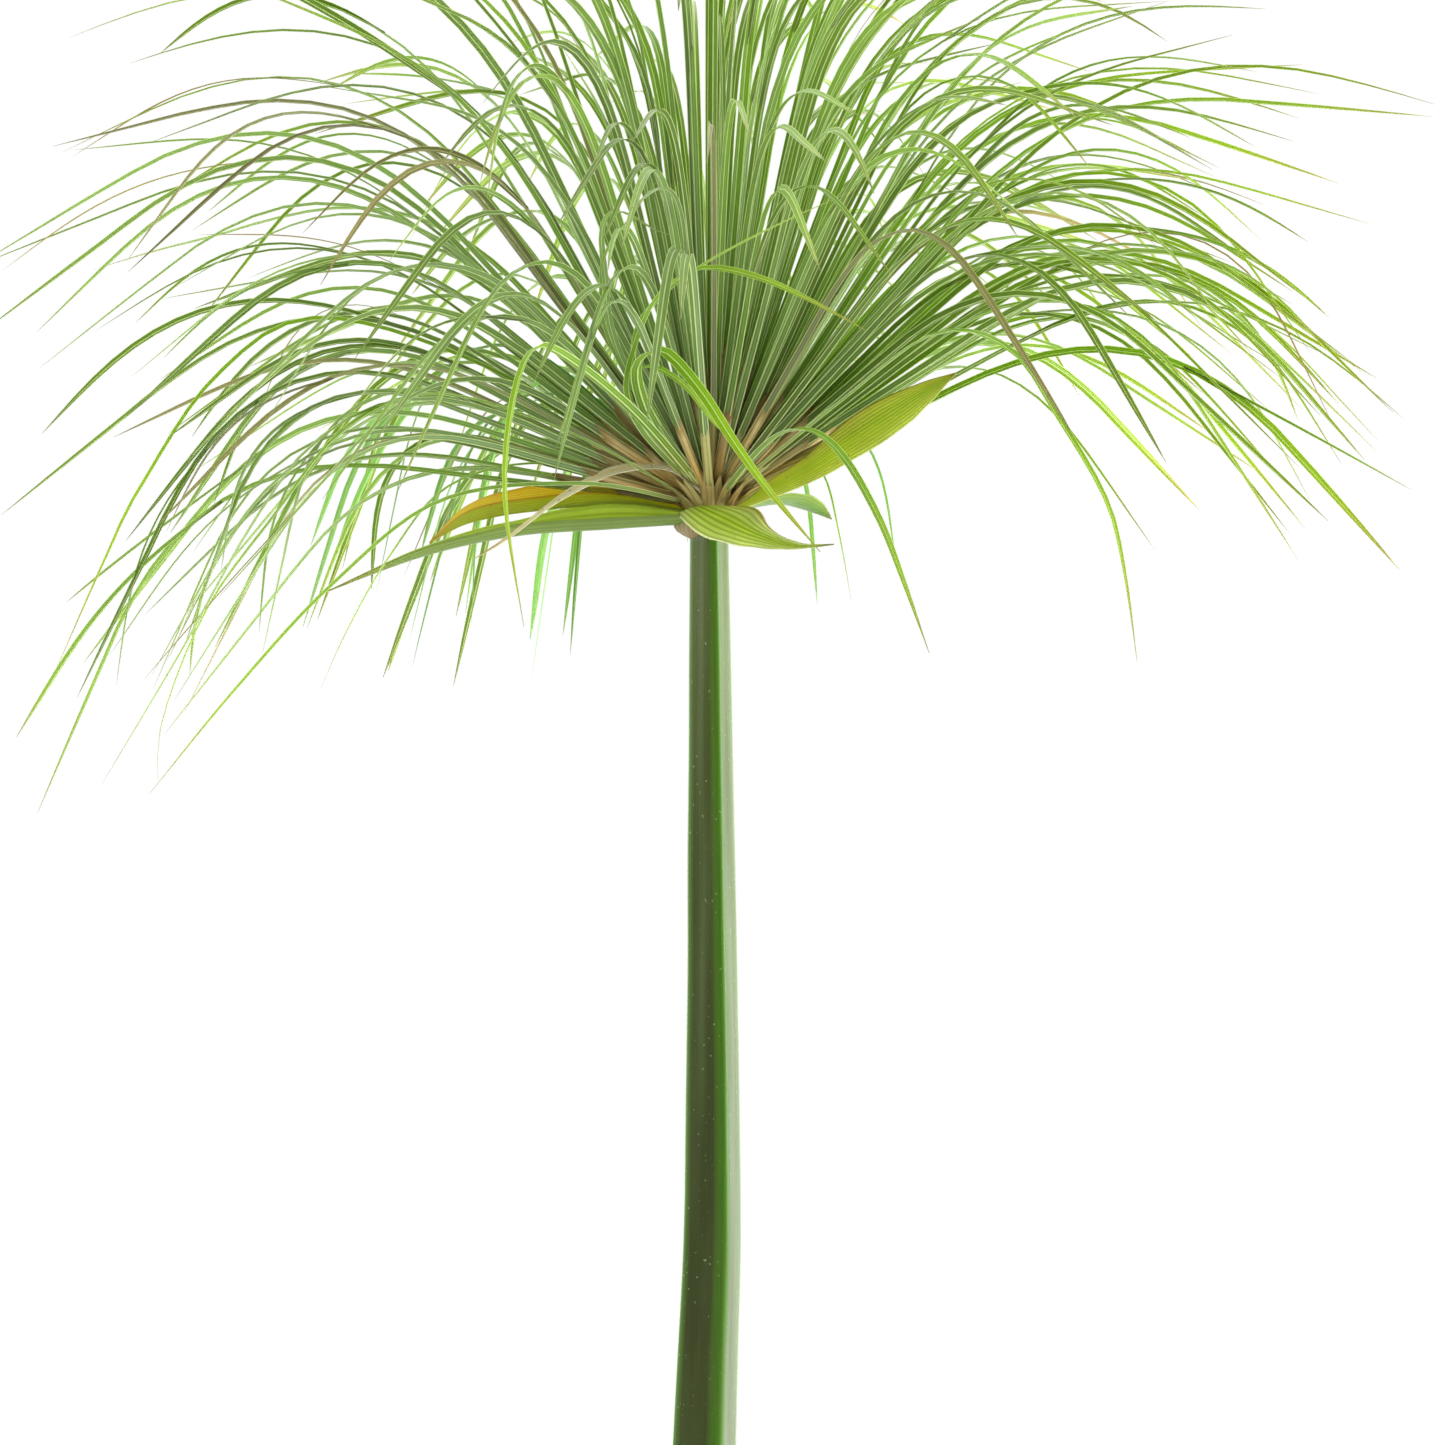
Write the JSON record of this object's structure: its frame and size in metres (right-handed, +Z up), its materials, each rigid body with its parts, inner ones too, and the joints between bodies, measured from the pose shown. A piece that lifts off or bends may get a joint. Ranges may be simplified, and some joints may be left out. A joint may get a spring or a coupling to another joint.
{
  "type": "potted papyrus",
  "caption": "Upright papyrus plant in a plain round clay pot: a three-sided stalk topped by a drooping umbel of thin rays over leafy bracts, rooted in soil.",
  "frame": {"origin": "centre of the flat underside of the pot, on the surface it stands on", "axes": "+Z up along the stalk, +X to the right and -Y towards the viewer when the broad folded bract and the long left bract face as in the source view"},
  "size_m": [0.5451, 0.5664, 1.0776],
  "materials": {
    "fired_clay": "unglazed fired clay, matt, faint throwing lines",
    "potting_soil": "damp peaty potting soil, crumbly",
    "rhizome_bark": "fibrous brown bark in rings",
    "culm_green": "smooth waxy skin with fine lengthways lines",
    "receptacle_tan": "dull, fibrous",
    "sheath_brown": "dry papery leaf sheath",
    "bract_green": "satin leaf blade with parallel veins",
    "bract_yellow": "satin leaf blade yellowing along its edge",
    "bract_dry": "pale dried leaf",
    "bract_brown": "dry papery scale",
    "ray_green": "satin grass-like stalk"
  },
  "bodies": {
    "root": {"pot": "fired_clay", "soil": "potting_soil", "rhizome": "rhizome_bark", "culm": "culm_green", "receptacle": "receptacle_tan", "basal_sheath_1": "sheath_brown", "basal_sheath_2": "sheath_brown", "basal_sheath_3": "sheath_brown", "bract_front": "bract_green", "bract_right": "bract_green", "bract_left_long": "bract_green", "bract_left_yellow": "bract_yellow", "bract_dry": "bract_dry", "bract_back_left": "bract_green", "bract_back_right": "bract_green", "bract_scale": "bract_brown", "ray_01": "ray_green", "ray_02": "ray_green", "ray_03": "ray_green", "ray_04": "ray_green", "ray_05": "ray_green", "ray_06": "ray_green", "ray_07": "ray_green", "ray_08": "ray_green", "ray_09": "ray_green", "ray_10": "ray_green", "ray_11": "ray_green", "ray_12": "ray_green", "ray_13": "ray_green", "ray_14": "ray_green", "ray_15": "ray_green", "ray_16": "ray_green", "ray_17": "ray_green", "ray_18": "ray_green", "ray_19": "ray_green", "ray_20": "ray_green", "ray_21": "ray_green", "ray_22": "ray_green", "ray_23": "ray_green", "ray_24": "ray_green", "ray_25": "ray_green", "ray_26": "ray_green", "ray_27": "ray_green", "ray_28": "ray_green", "ray_29": "ray_green", "ray_30": "ray_green", "ray_31": "ray_green", "ray_32": "ray_green", "ray_33": "ray_green", "ray_34": "ray_green", "ray_35": "ray_green", "ray_36": "ray_green", "ray_37": "ray_green", "ray_38": "ray_green", "ray_39": "ray_green", "ray_40": "ray_green", "ray_41": "ray_green", "ray_42": "ray_green", "ray_43": "ray_green", "ray_44": "ray_green"}
  },
  "joints": []
}
